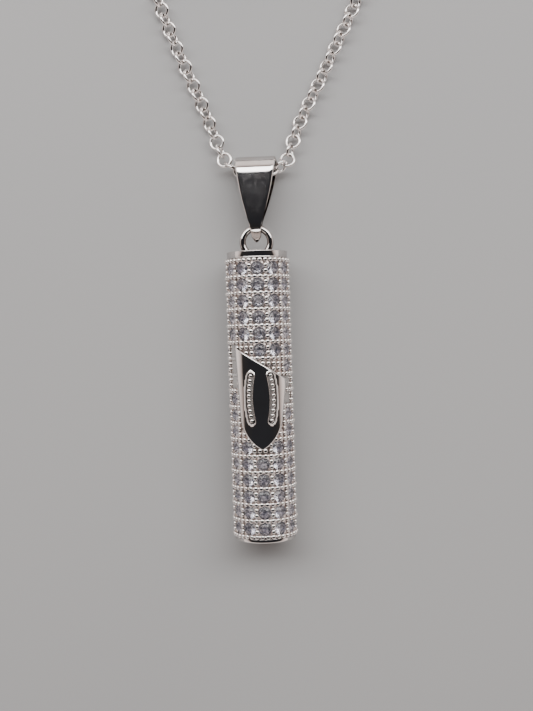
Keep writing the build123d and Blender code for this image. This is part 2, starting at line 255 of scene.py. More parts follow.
RIGHT_TAIL = [
    (-0.00190, 0.05520, 0.002275),
    (-0.00370, 0.05300, 0.002275),
    (-0.00420, 0.05030, 0.002275),
    (-0.00350, 0.04800, 0.002275),
    (-0.00225, 0.04690, 0.00215),
    (-0.00095, 0.04690, 0.00165),
]


# -------- materials
HOLLOW_REACH = 0.00035  # how near, in metres, another face paints shade into a hollow
HOLLOW_STOPS = (0.3, 0.8)
SHADE_STOPS = (0.5, 0.97)


def material(name, metallic, color, roughness):
    """A new material with a Principled shader, and its node tree's handles."""
    mat = bpy.data.materials.new(name)
    mat.use_nodes = True
    nodes = mat.node_tree.nodes
    shader = nodes["Principled BSDF"]
    shader.inputs["Metallic"].default_value = metallic
    shader.inputs["Base Color"].default_value = (*color, 1)
    shader.inputs["Roughness"].default_value = roughness
    return mat, nodes, mat.node_tree.links, shader


def object_noise(nodes, links, scale, detail, stretch=(1, 1, 1)):
    """Noise in the part's own frame, in cycles per metre, stretched along chosen axes."""
    place = nodes.new("ShaderNodeTexCoord")
    mapping = nodes.new("ShaderNodeMapping")
    mapping.inputs["Scale"].default_value = stretch
    noise = nodes.new("ShaderNodeTexNoise")
    noise.inputs["Scale"].default_value = scale
    noise.inputs["Detail"].default_value = detail
    links.new(place.outputs["Object"], mapping.inputs["Vector"])
    links.new(mapping.outputs["Vector"], noise.inputs["Vector"])
    return noise.outputs["Fac"]


def ramp(nodes, links, value, stops):
    """A colour ramp over a value; stops are (position, colour)."""
    node = nodes.new("ShaderNodeValToRGB")
    elements = node.color_ramp.elements
    while len(elements) < len(stops):
        elements.new(0.5)
    for element, (position, color) in zip(elements, stops):
        element.position = position
        element.color = (*color, 1)
    links.new(value, node.inputs["Fac"])
    return node.outputs["Color"]


def spread(nodes, links, value, low, high):
    """The value's middle range mapped to low..high."""
    node = nodes.new("ShaderNodeMapRange")
    node.inputs["From Min"].default_value = 0.3
    node.inputs["From Max"].default_value = 0.7
    node.inputs["To Min"].default_value = low
    node.inputs["To Max"].default_value = high
    links.new(value, node.inputs["Value"])
    return node.outputs["Result"]


def bump(nodes, links, shader, height, strength, distance):
    node = nodes.new("ShaderNodeBump")
    node.inputs["Strength"].default_value = strength
    node.inputs["Distance"].default_value = distance
    links.new(height, node.inputs["Height"])
    links.new(node.outputs["Normal"], shader.inputs["Normal"])


def silver(name, roughness, scratches, painted_shade_color, level=1.0, reach=HOLLOW_REACH):
    """Rhodium-plated silver: slight colour drift, uneven polish, hair scratches, and painted shade that
    darkens the hollows.

    A reach beyond the hollows also paints shade on the faces that are turned to the floor or to a
    neighbour.
    """
    mat, nodes, links, shader = material(name, 1.0, (0.9, 0.885, 0.87), roughness)
    cloud = object_noise(nodes, links, 700, 3)
    warm = tuple(level * c for c in (0.88, 0.835, 0.81))
    cool = tuple(level * c for c in (0.94, 0.92, 0.91))
    plating = ramp(nodes, links, cloud, [(0.3, warm), (0.7, cool)])
    # painted shade: occlusion darkens the base colour towards the painted shade colour wherever other
    # faces are near
    occlusion = nodes.new("ShaderNodeAmbientOcclusion")
    occlusion.samples = 6
    occlusion.inputs["Distance"].default_value = reach
    low, high = HOLLOW_STOPS if reach == HOLLOW_REACH else SHADE_STOPS
    hollow = ramp(nodes, links, occlusion.outputs["AO"], [(low, painted_shade_color), (high, (1, 1, 1))])
    mix = nodes.new("ShaderNodeMix")
    mix.data_type = "RGBA"
    mix.blend_type = "MULTIPLY"
    mix.inputs["Factor"].default_value = 1.0
    links.new(plating, mix.inputs["A"])
    links.new(hollow, mix.inputs["B"])
    links.new(mix.outputs["Result"], shader.inputs["Base Color"])
    polish = object_noise(nodes, links, 2600, 4)
    links.new(spread(nodes, links, polish, roughness * 0.8, roughness * 1.3), shader.inputs["Roughness"])
    hair = object_noise(nodes, links, 5000, 2, stretch=(1, 0.08, 1))
    bump(nodes, links, shader, hair, scratches, 0.00001)
    return mat


def gem():
    """Clear cut stone with fine light and dark mottling and lightly uneven polish."""
    mat, nodes, links, shader = material("stone", 0.0, (0.97, 0.97, 1.0), 0.0)
    shader.inputs["IOR"].default_value = 1.55
    shader.inputs["Transmission Weight"].default_value = 0.91
    mottle = object_noise(nodes, links, 5200, 1)
    tint = ramp(nodes, links, mottle, [(0.40, (0.24, 0.25, 0.32)), (0.58, (0.97, 0.94, 0.97))])
    links.new(tint, shader.inputs["Base Color"])
    worn = object_noise(nodes, links, 9000, 2)
    links.new(spread(nodes, links, worn, 0.10, 0.20), shader.inputs["Roughness"])
    return mat


def parchment():
    """Cream skin with mottling, fibres and a rough face."""
    mat, nodes, links, shader = material("parchment", 0.0, (0.8, 0.7, 0.5), 0.75)
    mottle = object_noise(nodes, links, 600, 6)
    color = ramp(nodes, links, mottle, [(0.3, (0.55, 0.44, 0.27)), (0.7, (0.82, 0.74, 0.56))])
    links.new(color, shader.inputs["Base Color"])
    fibre = object_noise(nodes, links, 6000, 4, stretch=(1, 0.15, 1))
    bump(nodes, links, shader, fibre, 0.4, 0.00003)
    return mat


def spring_wire():
    """Drawn steel wire of uneven polish."""
    mat, nodes, links, shader = material("spring_wire", 1.0, (0.6, 0.6, 0.61), 0.3)
    drawn = object_noise(nodes, links, 8000, 3)
    links.new(spread(nodes, links, drawn, 0.2, 0.4), shader.inputs["Roughness"])
    return mat


def floor_finish():
    """A plain matt grey with faint clouds."""
    mat, nodes, links, shader = material("floor", 0.0, (0.75, 0.74, 0.73), 0.6)
    cloud = object_noise(nodes, links, 12, 2)
    color = ramp(nodes, links, cloud, [(0.3, (0.41, 0.41, 0.415)), (0.7, (0.44, 0.44, 0.44))])
    links.new(color, shader.inputs["Base Color"])
    return mat


# each silver's last colour is its painted shade colour; the polished reach of 3 cm and the field's of 8 mm
# paint shade on flanks turned to the floor
POLISHED = silver("silver_polished", 0.06, 0.02, (0.30, 0.28, 0.27), reach=0.03)
BEADS = silver("silver_beads", 0.07, 0.02, (0.35, 0.29, 0.26))
FIELD = silver("silver_field", 0.30, 0.03, (0.42, 0.34, 0.31), reach=0.008)
CHAIN = silver("silver_chain", 0.13, 0.03, (0.5, 0.47, 0.45))
SATIN = silver("silver_satin", 0.60, 0.05, (0.50, 0.38, 0.33), level=0.34)
# the seats' silver is painted darker, as painted shade under the stones
SEAT = silver("silver_seat", 0.55, 0.03, (0.78, 0.76, 0.78), level=0.85)
# the kinds of face on the sleeve, besides the polished beads and ridges
FIELD_KIND = 1
SEAT_KIND = 2
SMOOTH_KIND = 3
STONE = gem()
PARCHMENT = parchment()
SPRING = spring_wire()


# -------- mesh helpers
def mesh_object(name, verts_mm, faces, mat, body, nodes=(), slot=None, smooth=True, sharp=None):
    """A piece from points in millimetres, riding on a body; its edges over sharp degrees are sharp."""
    mesh = bpy.data.meshes.new(name)
    mesh.from_pydata((np.asarray(verts_mm, float) * MM).tolist(), [], faces)
    mesh.validate()
    mesh.materials.append(mat)
    mesh.polygons.foreach_set("use_smooth", [smooth] * len(mesh.polygons))
    mesh.update()
    if sharp:
        mesh.set_sharp_from_angle(angle=radians(sharp))
    piece = bpy.data.objects.new(name, mesh)
    bpy.context.scene.collection.objects.link(piece)
    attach(piece, body)
    if nodes:
        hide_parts(*nodes)
    return piece


class Parts:
    """Collects points and faces of several shapes for one mesh."""

    def __init__(self):
        self.points = []
        self.faces = []
        self.kinds = []
        self.count = 0

    def add(self, points, faces, kinds=0):
        """Kinds are one for all the faces, or one for each."""
        self.points.append(np.asarray(points, float))
        self.faces.extend([tuple(i + self.count for i in face) for face in faces])
        self.kinds.extend([kinds] * len(faces) if isinstance(kinds, int) else kinds)
        self.count += len(points)

    def all(self):
        return np.vstack(self.points), self.faces


def paint(piece, kinds, *finishes):
    """Further finishes on a piece, chosen for each face by its kind; kind 0 keeps the first."""
    for finish in finishes:
        piece.data.materials.append(finish)
    piece.data.polygons.foreach_set("material_index", kinds)


def grid_faces(rings, around, closed_around=True, closed_along=False):
    """Quads between rings of points."""
    faces = []
    for i in range(rings if closed_along else rings - 1):
        for j in range(around if closed_around else around - 1):
            a = i * around + j
            b = i * around + (j + 1) % around
            c = ((i + 1) % rings) * around + (j + 1) % around
            d = ((i + 1) % rings) * around + j
            faces.append((a, b, c, d))
    return faces


def on_tube(angle, y, radius):
    """Points on the case from angle (0 faces up, in radians), height and radius."""
    angle, y, radius = np.broadcast_arrays(angle, y, radius)
    return np.stack([radius * np.sin(angle), y, AXIS_Z + radius * np.cos(angle)], axis=-1)


def turned(profile, steps=128):
    """A solid turned about the tube's axis from (radius, y) points, closed at both ends."""
    angles = np.linspace(0, 2 * pi, steps, endpoint=False)
    rings = [on_tube(angles, y, radius) for radius, y in profile]
    points = np.vstack(rings)
    faces = grid_faces(len(profile), steps)
    ends = [np.array([[0, profile[0][1], AXIS_Z]]), np.array([[0, profile[-1][1], AXIS_Z]])]
    first, last = len(points), len(points) + 1
    points = np.vstack([points, *ends])
    base = (len(profile) - 1) * steps
    for j in range(steps):
        nxt = (j + 1) % steps
        faces.append((first, nxt, j))
        faces.append((last, base + j, base + nxt))
    return points, faces


def torus(centre, axis_u, axis_v, mean_r, wire_r, around=96, section=28):
    """A ring in the plane of two unit vectors."""
    u, v = np.array(axis_u, float), np.array(axis_v, float)
    n = np.cross(u, v)
    t = np.linspace(0, 2 * pi, around, endpoint=False)
    s = np.linspace(0, 2 * pi, section, endpoint=False)
    radial = np.outer(np.cos(t), u) + np.outer(np.sin(t), v)
    points = radial[:, None, :] * (mean_r + wire_r * np.cos(s))[None, :, None]
    points = points + n * (wire_r * np.sin(s))[None, :, None] + np.array(centre)
    return points.reshape(-1, 3), grid_faces(around, section, True, True)


def arc_points(centre, radius, start, end, steps):
    """Points of an arc in a plane, angles in degrees."""
    t = np.radians(np.linspace(start, end, steps))
    return [(centre[0] + radius * cos(a), centre[1] + radius * sin(a)) for a in t]


# -------- camera, light and floor
def make_camera():
    """Straight above the case, pitched and rolled a little as a hand-held camera is."""
    pitch, roll = radians(CAMERA_PITCH), radians(CAMERA_ROLL)
    back = Vector((0, sin(pitch), cos(pitch)))
    up = Vector((sin(roll), cos(roll), 0))
    right = up.cross(back).normalized()
    up = back.cross(right)
    data = bpy.data.cameras.new("camera")
    data.lens = CAMERA_LENS
    data.sensor_width = 36
    data.clip_start = 0.002
    data.clip_end = 5
    camera = bpy.data.objects.new("camera", data)
    bpy.context.scene.collection.objects.link(camera)
    place = Vector((CAMERA_FOOT[0], CAMERA_FOOT[1], AXIS_Z + CAMERA_HEIGHT)) * MM
    camera.matrix_world = Matrix.Translation(place) @ Matrix((right, up, back)).transposed().to_4x4()
    bpy.context.scene.camera = camera


def soft_box(name, direction, distance, size, energy, color):
    """A rectangular light that faces the case."""
    data = bpy.data.lights.new(name, "AREA")
    data.shape = "RECTANGLE"
    data.size, data.size_y = size
    data.energy = energy
    data.color = color
    light = bpy.data.objects.new(name, data)
    bpy.context.scene.collection.objects.link(light)
    way = Vector(direction).normalized()
    light.location = way * distance
    light.rotation_euler = way.to_track_quat("Z", "Y").to_euler()


# the sky's colours by height, from the horizon up
SKY = (
    (0.0, (0.72, 0.65, 0.62)),
    (0.16, (0.66, 0.58, 0.545)),
    (0.33, (0.34, 0.285, 0.265)),
    (0.43, (0.02, 0.018, 0.017)),
    (0.80, (0.014, 0.014, 0.016)),
)
SKY_TILT = 0.36  # the bright horizon reaches this much higher beyond both ends of the case


def make_studio():
    """A warm bright horizon under a dark ceiling, and a wide soft window beyond the bail."""
    world = bpy.data.worlds.new("studio")
    bpy.context.scene.world = world
    world.use_nodes = True
    nodes, links = world.node_tree.nodes, world.node_tree.links
    place = nodes.new("ShaderNodeTexCoord")
    split = nodes.new("ShaderNodeSeparateXYZ")
    links.new(place.outputs["Generated"], split.inputs["Vector"])
    beyond = nodes.new("ShaderNodeMath")
    beyond.operation = "ABSOLUTE"
    links.new(split.outputs["Y"], beyond.inputs[0])
    lower = nodes.new("ShaderNodeMath")
    lower.operation = "MULTIPLY_ADD"
    lower.inputs[1].default_value = -SKY_TILT
    links.new(beyond.outputs[0], lower.inputs[0])
    links.new(split.outputs["Z"], lower.inputs[2])
    sky = ramp(nodes, links, lower.outputs[0], SKY)
    links.new(sky, nodes["Background"].inputs["Color"])
    nodes["Background"].inputs["Strength"].default_value = 1.7
    soft_box("window", (0, 0.545, 0.839), 0.35, (0.80, 0.15), 2.3, (1.0, 0.99, 0.98))


def make_floor():
    """A plain floor under everything, which isn't part of the object."""
    bpy.ops.mesh.primitive_plane_add(size=1.2, location=(0, 0.02, 0))
    floor = bpy.context.object
    floor.name = "floor"
    floor.data.materials.append(floor_finish())


# -------- chain
def coil_points(start, turns, way, z):
    """Turns of the flat coil from its outside inwards; way 1 is to the left."""
    points = []
    for step in range(int(round(COIL_STEPS * turns)) + 1):
        angle = radians(start + way * 360 / COIL_STEPS * step)
        radius = COIL_FIRST_R - COIL_PITCH * step / COIL_STEPS
        x = COIL_CENTRE[0] + radius * cos(angle)
        y = COIL_CENTRE[1] + radius * sin(angle)
        points.append((x, y, z))
    return points


def route_line(name, points):
    """The route's smooth line: a NURBS spline on the points, read back as close points in metres."""
    curve = bpy.data.curves.new(name, "CURVE")
    curve.dimensions = "3D"
    curve.resolution_u = 10
    spline = curve.splines.new("NURBS")
    spline.points.add(len(points) - 1)
    for point, place in zip(spline.points, points):
        point.co = (*place, 1)
    spline.order_u = 3
    spline.use_endpoint_u = True
    holder = bpy.data.objects.new(name, curve)
    bpy.context.scene.collection.objects.link(holder)
    bpy.context.view_layer.update()
    graph = bpy.context.evaluated_depsgraph_get()
    mesh = bpy.data.meshes.new_from_object(holder.evaluated_get(graph))
    line = np.array([v.co for v in mesh.vertices], float)
    bpy.data.objects.remove(holder)
    return line


def distance_travelled(line):
    """The distance from a line's start to each of its points."""
    steps = np.linalg.norm(np.diff(line, axis=0), axis=1)
    return np.concatenate([[0], np.cumsum(steps)])


def places_at(line, distances):
    """Places on a line at distances from its start."""
    travelled = distance_travelled(line)
    return np.stack([np.interp(distances, travelled, values) for values in line.T], axis=1)


def along(line, distances, reach=3e-4):
    """Places and directions on a line; a direction is taken over this reach on both sides."""
    ways = places_at(line, distances + reach) - places_at(line, distances - reach)
    return places_at(line, distances), ways / np.linalg.norm(ways, axis=1)[:, None]


def line_length(line):
    return float(np.linalg.norm(np.diff(line, axis=0), axis=1).sum())


def chain_links(name, line, twist, nodes):
    """Round wire links along a line, each turned about it from the last one.

    The first links have an extra twist, in degrees, that fades out along the line.
    """
    end = line_length(line) / MM - CHAIN_END_GAP
    distances = np.arange(LINK_PITCH / 2, end, LINK_PITCH) * MM
    places, ways = along(line, distances)
    links = Parts()
    for number, (place, way) in enumerate(zip(places / MM, ways)):
        travelled = distances[number] / MM
        lean = np.interp(travelled, LEAN_DISTANCES, LINK_LEANS)
        lean += twist * max(0.0, 1 - travelled / LEAN_DISTANCES[0])
        roll = radians(lean - (0 if number % 2 else LINK_TURN) + rng.normal(0, LINK_SWAY))
        across = np.cross(way, (0, 0, 1))
        across /= np.linalg.norm(across)
        over = np.cross(across, way)
        side = cos(roll) * across + sin(roll) * over
        links.add(*torus(place, way, side, LINK_MEAN_R, LINK_WIRE_R, around=28, section=10))
    return mesh_object(name, *links.all(), CHAIN, "chain", nodes, "silver_chain")


def make_chain():
    """Both halves of the chain with the put-away coil; the clasp and the end ring are the CAD model's own.
    """
    low, high = LEFT_ROUTE[3][2], RIGHT_ROUTE[-1][2]
    left = LEFT_ROUTE + coil_points(180, LEFT_TURNS, -1, low) + LEFT_TAIL
    right = RIGHT_ROUTE + coil_points(0, RIGHT_TURNS, 1, high) + RIGHT_TAIL
    left_line = route_line("left_route", left)
    right_line = route_line("right_route", right)
    left_links = chain_links("chain_links_left", left_line, 0, ["chain_left", "chain_coil_lower"])
    right_links = chain_links("chain_links_right", right_line, 90, ["chain_right", "chain_coil_upper"])


# -------- pavé sleeve, beads and stones
def at_cell(angle, y, x, v, h):
    """Points over a stone's place: across x and along v in its flat, h out from the tube's axis."""
    x, v, h = np.broadcast_arrays(x, v, h)
    across = x * cos(angle) + h * sin(angle)
    return np.stack([across, y + v, AXIS_Z + h * cos(angle) - x * sin(angle)], axis=-1)


def row_y(row):
    return TOP_RIB_Y - (row + 0.5) * PITCH


def has_stone(row, angle):
    """Whether the CAD row has a stone whose culet lies at this angle."""
    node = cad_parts[f"stones_row_{row + 1:02d}"]
    culet = Vector(on_tube(angle, row_y(row), CULET_R)) * MM
    return any((node.matrix_world @ v.co - culet).length < 0.1 * MM for v in node.data.vertices)


def in_front(angle):
    return cos(angle) > FRONT_COS


def cell(angle, y, stone):
    """One square of the sleeve: a ridge round a drilled seat, or round a plain field."""
    t = np.linspace(0, 2 * pi, CELL_POINTS, endpoint=False)
    square = np.maximum(abs(np.cos(t)), abs(np.sin(t)))
    half_x = STONE_SEAT_R * tan(pi / COLUMNS)
    rings = []
    for size, radius in RIDGE:
        x = size * half_x * np.cos(t) / square
        v = size * PITCH / 2 * np.sin(t) / square
        rings.append(at_cell(angle, y, x, v, np.sqrt(radius**2 - x**2)))
    for radius, height in SEAT_BOWL if stone else PLAIN_BOWL:
        x, v = radius * np.cos(t), radius * np.sin(t)
        h = height if stone else np.sqrt(height**2 - x**2)
        rings.append(at_cell(angle, y, x, v, h))
    faces = grid_faces(len(rings), CELL_POINTS)
    last = (len(rings) - 1) * CELL_POINTS
    faces.append(tuple(range(last, last + CELL_POINTS)))
    kinds = [0] * (RIDGE_BANDS * CELL_POINTS)
    if stone:
        kinds += [FIELD_KIND] * ((RIM_BANDS - RIDGE_BANDS) * CELL_POINTS)
        kinds += [SEAT_KIND] * (len(faces) - len(kinds))
    else:
        kinds += [FIELD_KIND if in_front(angle) else SMOOTH_KIND] * (len(faces) - len(kinds))
    return np.vstack(rings), [face[::-1] for face in faces], kinds


def bead_shape(radius, around=14):
    """A bead's upper part, its flattened pole along Z and its edge a little under its middle."""
    turns = np.linspace(0, 2 * pi, around, endpoint=False)
    power = 2 / BEAD_FLATNESS
    points = [(0, 0, radius)]
    for tilt in np.radians(BEAD_TILTS):
        across = radius * sin(tilt) ** power
        height = radius * np.sign(cos(tilt)) * abs(cos(tilt)) ** power
        points += [(across * cos(a), across * sin(a), height) for a in turns]
    points = np.array(points)
    faces = [(0, 1 + j, 1 + (j + 1) % around) for j in range(around)]
    for face in grid_faces(len(BEAD_TILTS), around):
        faces.append(tuple(i + 1 for i in face))
    return points, faces


def stand(points, angle, y, radius):
    """A small shape stood on the tube, its Z axis outwards and its Y axis along the tube."""
    return at_cell(angle, y, points[:, 0], points[:, 1], radius + points[:, 2])


def bead_places():
    """Angles and heights of all beads: on the row lines, and two more on each cell's sides."""
    places = []
    for line in range(ROWS + 1):
        y = TOP_RIB_Y - line * PITCH
        beside = [row for row in (line - 1, line) if 0 <= row < ROWS]
        for m in range(3 * COLUMNS):
            turn = BEAD_ANGLE * (m + 0.5)
            column = radians(CELL_ANGLE * round(turn / CELL_ANGLE))
            on_corner = m % 3 == 1
            on_left = sin(column) < 0 and not in_front(column)
            smooth = on_left and not any(has_stone(row, column) for row in beside)
            if on_corner or not smooth:
                places.append((radians(turn), y))
    for row in range(ROWS):
        for third in (1, 2):
            y = TOP_RIB_Y - (row + third / 3) * PITCH
            places += [(radians(CELL_ANGLE * (m + 0.5)), y) for m in range(COLUMNS)]
            for column in range(COLUMNS):
                turn = CELL_ANGLE * column
                if in_front(radians(turn)) and not has_stone(row, radians(turn)):
                    places += [(radians(turn + side * BEAD_ANGLE / 2), y) for side in (-1, 1)]
    return places


def add_cells(sleeve, outline):
    """A cell for each stone's place that the plaque doesn't hide."""
    for row in range(ROWS):
        for column in range(COLUMNS):
            angle = 2 * pi * column / COLUMNS
            stone = has_stone(row, angle)
            middle = np.array([[STONE_SEAT_R * sin(angle), row_y(row)]])
            covered = in_front(angle) and inside(middle, outline)[0]
            if stone or not (covered and distance_to(middle, outline)[0] > HIDDEN_DEPTH):
                sleeve.add(*cell(angle, row_y(row), stone))


def add_ends(sleeve):
    """The plain rim and the flat face at each end, and the bore."""
    angles = np.linspace(0, 2 * pi, SLEEVE_STEPS, endpoint=False)
    bottom_rib_y = TOP_RIB_Y - ROWS * PITCH
    for end_y, line_y, way in ((SLEEVE_TOP_Y, TOP_RIB_Y, 1), (SLEEVE_BOTTOM_Y, bottom_rib_y, -1)):
        profile = [(RIDGE[0][1], line_y), (SLEEVE_END_R, line_y + way * 0.03)]
        profile += [(SLEEVE_END_R, end_y - way * 0.04), (SLEEVE_END_R - SLEEVE_CHAMFER, end_y)]
        profile += [(SLEEVE_BORE_R, end_y)]
        rings = np.vstack([on_tube(angles, y, radius) for radius, y in profile])
        sleeve.add(rings, [face[::way] for face in grid_faces(len(profile), SLEEVE_STEPS)])
    bore = [on_tube(angles, y, SLEEVE_BORE_R) for y in (SLEEVE_BOTTOM_Y, SLEEVE_TOP_Y)]
    sleeve.add(np.vstack(bore), grid_faces(2, SLEEVE_STEPS))


def add_beads(sleeve, outline):
    """Every bead that the plaque doesn't hide, each a little off its size and place."""
    shape, faces = bead_shape(BEAD_R)
    for angle, y in bead_places():
        place = np.array([[BEAD_CENTRE_R * sin(angle), y]])
        near = distance_to(place, outline)[0]
        under = cos(angle) > 0 and inside(place, outline)[0] and near > BEAD_HIDDEN_DEPTH
        if not under:
            size = 1 + rng.normal(0, BEAD_SIZE_SPREAD)
            off = rng.normal(0, BEAD_PLACE_SPREAD, 2)
            bead = stand(shape * size, angle + off[0] / STONE_SEAT_R, y + off[1], BEAD_CENTRE_R)
            sleeve.add(bead, faces)


def make_sleeve():
    """The beaded sleeve: cells with their ridges, both ends, the bore and the beads."""
    outline = plaque_outline()
    sleeve = Parts()
    add_cells(sleeve, outline)
    add_ends(sleeve)
    add_beads(sleeve, outline)
    nodes = ["pave_sleeve"]
    piece = mesh_object("beaded_sleeve", *sleeve.all(), BEADS, "case", nodes, "silver_pave", sharp=35)
    paint(piece, sleeve.kinds, FIELD, SEAT, POLISHED)


def facet_ring(count, offset, radius, height):
    """Evenly spaced corners, turned by a share of their spacing."""
    turns = [2 * pi * (k + offset) / count for k in range(count)]
    return [(radius * cos(turn), radius * sin(turn), height) for turn in turns]


def brilliant():
    """A round brilliant with its facets: table, stars, kites, halves, girdle and pavilion."""
    slope = STONE_CROWN / (STONE_R - STONE_TABLE_R)
    star_height = STONE_CROWN - slope * (STONE_STAR_R * cos(pi / 8) - STONE_TABLE_R)
    low_share = 1 - STONE_LOW_R * cos(pi / 8) / STONE_R
    rings = [
        facet_ring(8, 0, STONE_TABLE_R, STONE_CROWN),
        facet_ring(8, 0.5, STONE_STAR_R, star_height),
        facet_ring(16, 0, STONE_R, 0),
        facet_ring(16, 0, STONE_R, -STONE_GIRDLE),
        facet_ring(8, 0.5, STONE_LOW_R, -STONE_GIRDLE - STONE_PAVILION * low_share),
    ]
    points = np.array(sum(rings, []) + [(0, 0, -STONE_GIRDLE - STONE_PAVILION)])
    starts = np.cumsum([0] + [len(ring) for ring in rings]).tolist()
    table, star, upper, lower, low, culet = starts
    faces = [tuple(range(8))]
    for k in range(8):
        after, before = (k + 1) % 8, (k - 1) % 8
        corner, half, next_corner = 2 * k, 2 * k + 1, 2 * after
        faces.append((table + k, star + k, table + after))
        faces.append((table + k, star + before, upper + corner, star + k))
        faces.append((star + k, upper + corner, upper + half))
        faces.append((star + k, upper + half, upper + next_corner))
        faces.append((upper + corner, lower + corner, lower + half, upper + half))
        faces.append((upper + half, lower + half, lower + next_corner, upper + next_corner))
        faces.append((culet, low + k, lower + corner, low + before))
        faces.append((low + k, lower + half, lower + corner))
        faces.append((low + k, lower + next_corner, lower + half))
    return points, faces


def make_stones():
    """One piece a row, each stone set with a little turn of its own."""
    shape, facets = brilliant()
    for row in range(ROWS):
        stones = Parts()
        for column in range(COLUMNS):
            angle = 2 * pi * column / COLUMNS
            if has_stone(row, angle):
                turn = rng.uniform(0, pi / 4)
                tip = rng.normal(0, STONE_TILT_SPREAD)
                lean = rng.normal(0, STONE_TILT_SPREAD)
                spun = np.array(Matrix.Rotation(turn, 3, "Z"))
                tipped = np.array(Matrix.Rotation(tip, 3, "X") @ Matrix.Rotation(lean, 3, "Y"))
                stones.add(stand(shape @ (tipped @ spun).T, angle, row_y(row), STONE_SEAT_R), facets)
        name = f"brilliants_row_{row + 1:02d}"
        node = f"stones_row_{row + 1:02d}"
        mesh_object(name, *stones.all(), STONE, "case", [node], "stone", smooth=False)


# -------- plaque and its two bead rows
def bulged(start, end, bulge, steps):
    """Points from start up to but without end, on an arc that swells to the right of its chord."""
    start, end = np.array(start, float), np.array(end, float)
    if bulge == 0:
        return [start + (end - start) * k / steps for k in range(steps)]
    chord = np.linalg.norm(end - start)
    right = np.array([end[1] - start[1], start[0] - end[0]]) / chord
    radius = (chord**2 / 4 + bulge**2) / (2 * bulge)
    centre = (start + end) / 2 - right * (radius - bulge)
    first = atan2(start[1] - centre[1], start[0] - centre[0])
    last = atan2(end[1] - centre[1], end[0] - centre[0])
    swept = (last - first + pi) % (2 * pi) - pi
    turns = [first + swept * k / steps for k in range(steps)]
    return [centre + abs(radius) * np.array([cos(a), sin(a)]) for a in turns]


def plaque_outline():
    """The shield in plan, anticlockwise from its top left corner."""
    x, y = PLAQUE_SHOULDER
    points = bulged(PLAQUE_TOP_LEFT, (-x, y), 0, steps=90)
    points += bulged((-x, y), PLAQUE_TIP, PLAQUE_BULGE, steps=60)
    points += bulged(PLAQUE_TIP, (x, y), PLAQUE_BULGE, steps=60)
    points += bulged((x, y), PLAQUE_TOP_RIGHT, 0, steps=50)
    points += bulged(PLAQUE_TOP_RIGHT, PLAQUE_TOP_LEFT, 0, steps=80)
    return np.array(points)


def band_line(side, steps=40):
    """The middle line of one ornamental band in plan."""
    start = (side * BAND_START[0], BAND_START[1])
    end = (side * BAND_END[0], BAND_END[1])
    return np.array(bulged(start, end, -side * BAND_BOW, steps) + [np.array(end)])


def directions(line):
    """Unit vectors along a line in plan, and to its left."""
    way = np.gradient(line, axis=0)
    way /= np.linalg.norm(way, axis=1)[:, None]
    return way, np.stack([-way[:, 1], way[:, 0]], axis=1)


def band_loop(side, half):
    """The outline of a band of this half-width, with round ends."""
    line = band_line(side)
    way, left = directions(line)
    turns = np.radians(np.arange(15, 180, 15))[:, None]
    last = line[-1] + half * (np.cos(turns) * left[-1] + np.sin(turns) * way[-1])
    first = line[0] + half * (np.cos(turns) * -left[0] - np.sin(turns) * way[0])
    return np.vstack([line + half * left, last, (line - half * left)[::-1], first])


def distance_to(points, line, closed=True):
    """The distance from each point in plan to a line of points."""
    start = line if closed else line[:-1]
    end = np.roll(line, -1, axis=0) if closed else line[1:]
    way = end - start
    gap = points[:, None, :] - start[None]
    t = np.clip((gap * way).sum(axis=2) / (way * way).sum(axis=1), 0, 1)
    return np.linalg.norm(gap - t[:, :, None] * way, axis=2).min(axis=1)


def inside(points, line):
    """Whether each point in plan lies inside a closed line."""
    x, y = points[:, 0:1], points[:, 1:2]
    sx, sy = line[:, 0], line[:, 1]
    ex, ey = np.roll(sx, -1), np.roll(sy, -1)
    rise = np.where(ey == sy, 1e-12, ey - sy)
    crossing = (sy > y) != (ey > y)
    return (crossing & (x < sx + (y - sy) / rise * (ex - sx))).sum(axis=1) % 2 == 1


def distance_to_bands(points):
    """The distance from each point in plan to the nearer band's middle line."""
    return np.minimum(*(distance_to(points, band_line(side), False) for side in (-1, 1)))


def plaque_radius(points, outline):
    """The plaque's face as a radius from the tube's axis: rounded rim, two channels, raised lips."""
    depth = np.clip(distance_to(points, outline), 0, PLAQUE_ROUNDING)
    rounding = np.sqrt(PLAQUE_ROUNDING**2 - (PLAQUE_ROUNDING - depth) ** 2)
    radius = PLAQUE_R - PLAQUE_ROUNDING + rounding
    near = distance_to_bands(points)
    middle, half = sum(BAND_LIP) / 2, (BAND_LIP[1] - BAND_LIP[0]) / 2
    lip = np.clip(1 - ((near - middle) / half) ** 2, 0, 1)
    return np.where(near < BAND_HALF, BAND_FLOOR_R, radius + BAND_LIP_HEIGHT * lip)


def on_front(points, radius):
    """Points in plan lifted onto the tube's front."""
    z = AXIS_Z + np.sqrt(radius**2 - points[:, 0] ** 2)
    return np.column_stack([points, z])


def front_normals(points, outline, step=0.003):
    """The face's normals, from its slopes along X and Y."""
    slopes = []
    for shift in ((step, 0), (0, step)):
        ahead, behind = [on_front(p, plaque_radius(p, outline)) for p in (points + shift, points - shift)]
        slopes.append((ahead - behind)[:, 2] / (2 * step))
    normals = np.column_stack([-slopes[0], -slopes[1], np.ones(len(points))])
    return normals / np.linalg.norm(normals, axis=1)[:, None]


def inset(line, depth):
    """An anticlockwise closed line moved inwards."""
    way = np.roll(line, -1, axis=0) - line
    way /= np.linalg.norm(way, axis=1)[:, None]
    return line + depth * np.stack([-way[:, 1], way[:, 0]], axis=1)


def plaque_loops(outline):
    """The lines that the face's triangles follow: the rounded rim, and each channel with its lip."""
    loops = [outline] + [inset(outline, PLAQUE_ROUNDING * share) for share in PLAQUE_RIM_STEPS]
    lip_width = BAND_LIP[1] - BAND_LIP[0]
    for side in (-1, 1):
        loops.append(band_loop(side, BAND_HALF - 0.005))
        loops += [band_loop(side, BAND_LIP[0] + lip_width * share) for share in BAND_LIP_STEPS]
    return loops


